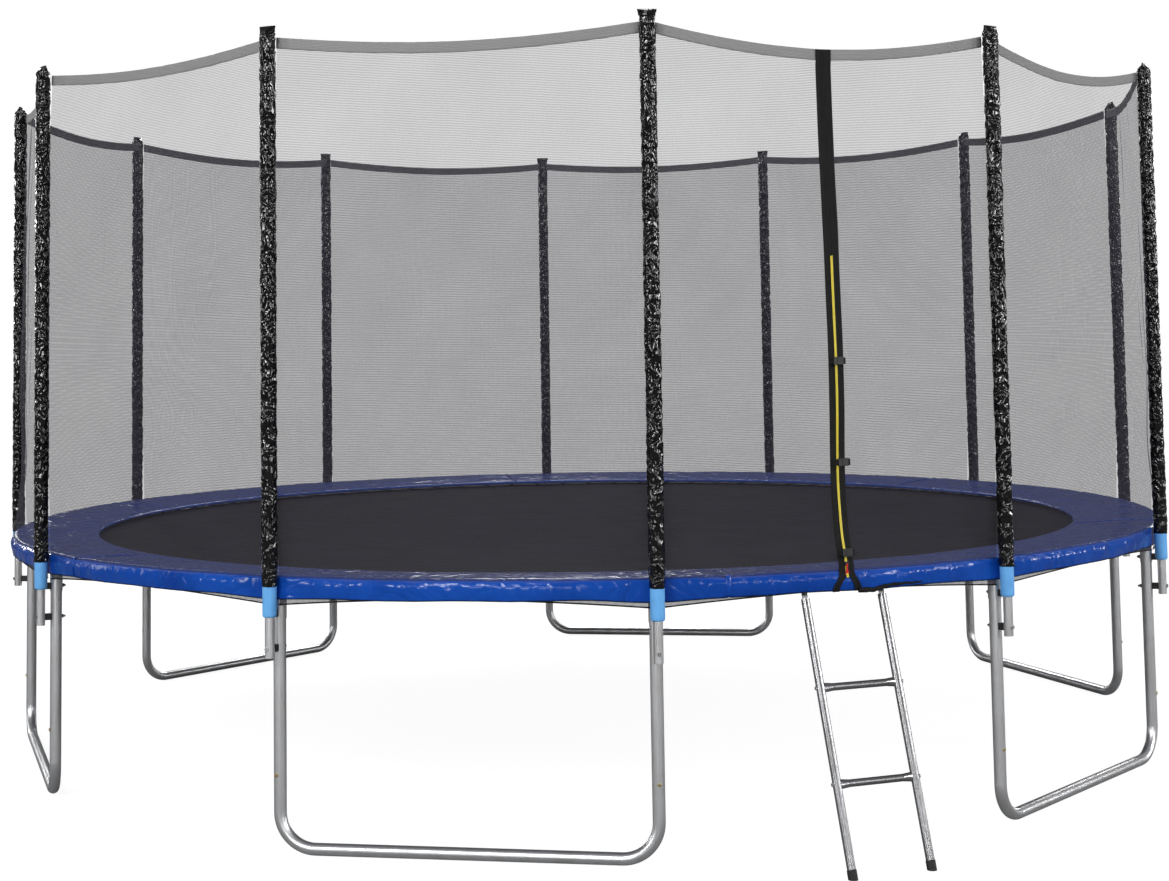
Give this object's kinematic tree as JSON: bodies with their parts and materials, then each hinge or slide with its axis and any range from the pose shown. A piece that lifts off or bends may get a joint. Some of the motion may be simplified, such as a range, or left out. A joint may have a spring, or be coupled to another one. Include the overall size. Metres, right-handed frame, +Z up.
{
  "type": "trampoline",
  "caption": "Large round garden trampoline with U-shaped tube legs, a padded blue ring, padded poles, a full-height zipped safety net and a hook-on ladder.",
  "frame": {"origin": "on the floor at the centre of the ring", "axes": "+Z up; -Y out through the zipped door and the ladder; +X to the right of someone looking out through the door from inside, seen from above as -Y turned a quarter turn counter-clockwise"},
  "size_m": [4.8972, 5.2073, 2.7179],
  "materials": {
    "galvanised_steel": "galvanised, lightly streaked, semi-gloss",
    "zinc_yellow": "yellow zinc plating",
    "zinc_bright": "bright zinc plating",
    "black_plastic": "moulded, matt",
    "blue_foam": "closed-cell foam, matt",
    "black_pvc": "coated cloth, glossy and crumpled",
    "spring_steel": "galvanised wire",
    "mat_fabric": "tightly woven, matt",
    "webbing": "woven tape",
    "blue_pvc": "coated cloth, glossy with soft creases",
    "net": "fine knitted mesh",
    "grey_webbing": "ribbed tape",
    "yellow_zip": "moulded teeth on tape",
    "black_metal": "painted die casting",
    "red_tape": "soft plastic",
    "ladder_chrome": "bright plated",
    "black_rubber": "moulded, matt"
  },
  "bodies": {
    "frame": {"top_rail_01": "galvanised_steel", "top_rail_02": "galvanised_steel", "top_rail_03": "galvanised_steel", "top_rail_04": "galvanised_steel", "top_rail_05": "galvanised_steel", "top_rail_06": "galvanised_steel", "top_rail_07": "galvanised_steel", "top_rail_08": "galvanised_steel", "top_rail_09": "galvanised_steel", "top_rail_10": "galvanised_steel", "top_rail_11": "galvanised_steel", "top_rail_12": "galvanised_steel", "leg_base_1": "galvanised_steel", "leg_base_2": "galvanised_steel", "leg_base_3": "galvanised_steel", "leg_base_4": "galvanised_steel", "leg_base_5": "galvanised_steel", "leg_base_6": "galvanised_steel", "rail_tees": "galvanised_steel", "leg_uprights": "galvanised_steel", "pole_lower_tubes": "galvanised_steel", "pole_upper_tubes": "galvanised_steel", "leg_joint_screws": "zinc_yellow", "pole_bolts": "zinc_bright", "pole_nuts": "zinc_bright", "pole_end_caps": "black_plastic", "pole_spacers": "black_plastic", "pole_foam": "blue_foam", "pole_sleeves": "black_pvc", "springs": "spring_steel", "safety_pad": "blue_pvc", "pad_skirt": "blue_pvc", "pad_piping": "webbing", "net_panels": "net", "net_lower_band": "net", "net_top_hem": "grey_webbing", "net_bottom_cord": "webbing", "door_band": "webbing", "zipper_coil": "yellow_zip", "buckle_sockets": "black_plastic", "buckle_socket_straps": "webbing"},
    "mat": {"jumping_mat": "mat_fabric", "mat_border": "webbing", "mat_ring_tabs": "webbing", "mat_rings": "spring_steel"},
    "ladder": {"ladder_hooks": "ladder_chrome", "ladder_bolts": "zinc_bright", "ladder_rail_left": "ladder_chrome", "ladder_rail_right": "ladder_chrome", "ladder_rung_lower": "ladder_chrome", "ladder_rung_upper": "ladder_chrome", "ladder_feet": "black_rubber"},
    "slider": {"zip_slider": "black_metal"},
    "pull": {"zip_pull": "red_tape"},
    "clip_lower": {"buckle_clip_lower": "black_plastic", "buckle_strap_lower": "webbing"},
    "clip_middle": {"buckle_clip_middle": "black_plastic", "buckle_strap_middle": "webbing"},
    "clip_upper": {"buckle_clip_upper": "black_plastic", "buckle_strap_upper": "webbing"}
  },
  "joints": [
    {"name": "mat_bounce", "type": "slide", "parent": "frame", "child": "mat", "axis": [0, 0, -1], "range_m": [0, 0.35], "stiffness_N_per_m": 4000, "springref_m": -0.03, "deforming": ["springs"]},
    {"name": "ladder_swing", "type": "hinge", "parent": "frame", "child": "ladder", "pos_m": [0, -2.41595, 0.88], "axis": [-1, 0, 0], "range_deg": [0, 20]},
    {"name": "zip_slide", "type": "slide", "parent": "frame", "child": "slider", "axis": [0, 0.0825, 0.9966], "range_m": [0, 0.98]},
    {"name": "pull_swing", "type": "hinge", "parent": "slider", "child": "pull", "pos_m": [0, -2.45606, 0.94931], "axis": [-1, 0, 0], "range_deg": [0, 120]},
    {"name": "clip_lower_pull", "type": "slide", "parent": "frame", "child": "clip_lower", "axis": [-1, 0, 0], "range_m": [0, 0.025]},
    {"name": "clip_middle_pull", "type": "slide", "parent": "frame", "child": "clip_middle", "axis": [-1, 0, 0], "range_m": [0, 0.025]},
    {"name": "clip_upper_pull", "type": "slide", "parent": "frame", "child": "clip_upper", "axis": [-1, 0, 0], "range_m": [0, 0.025]}
  ]
}
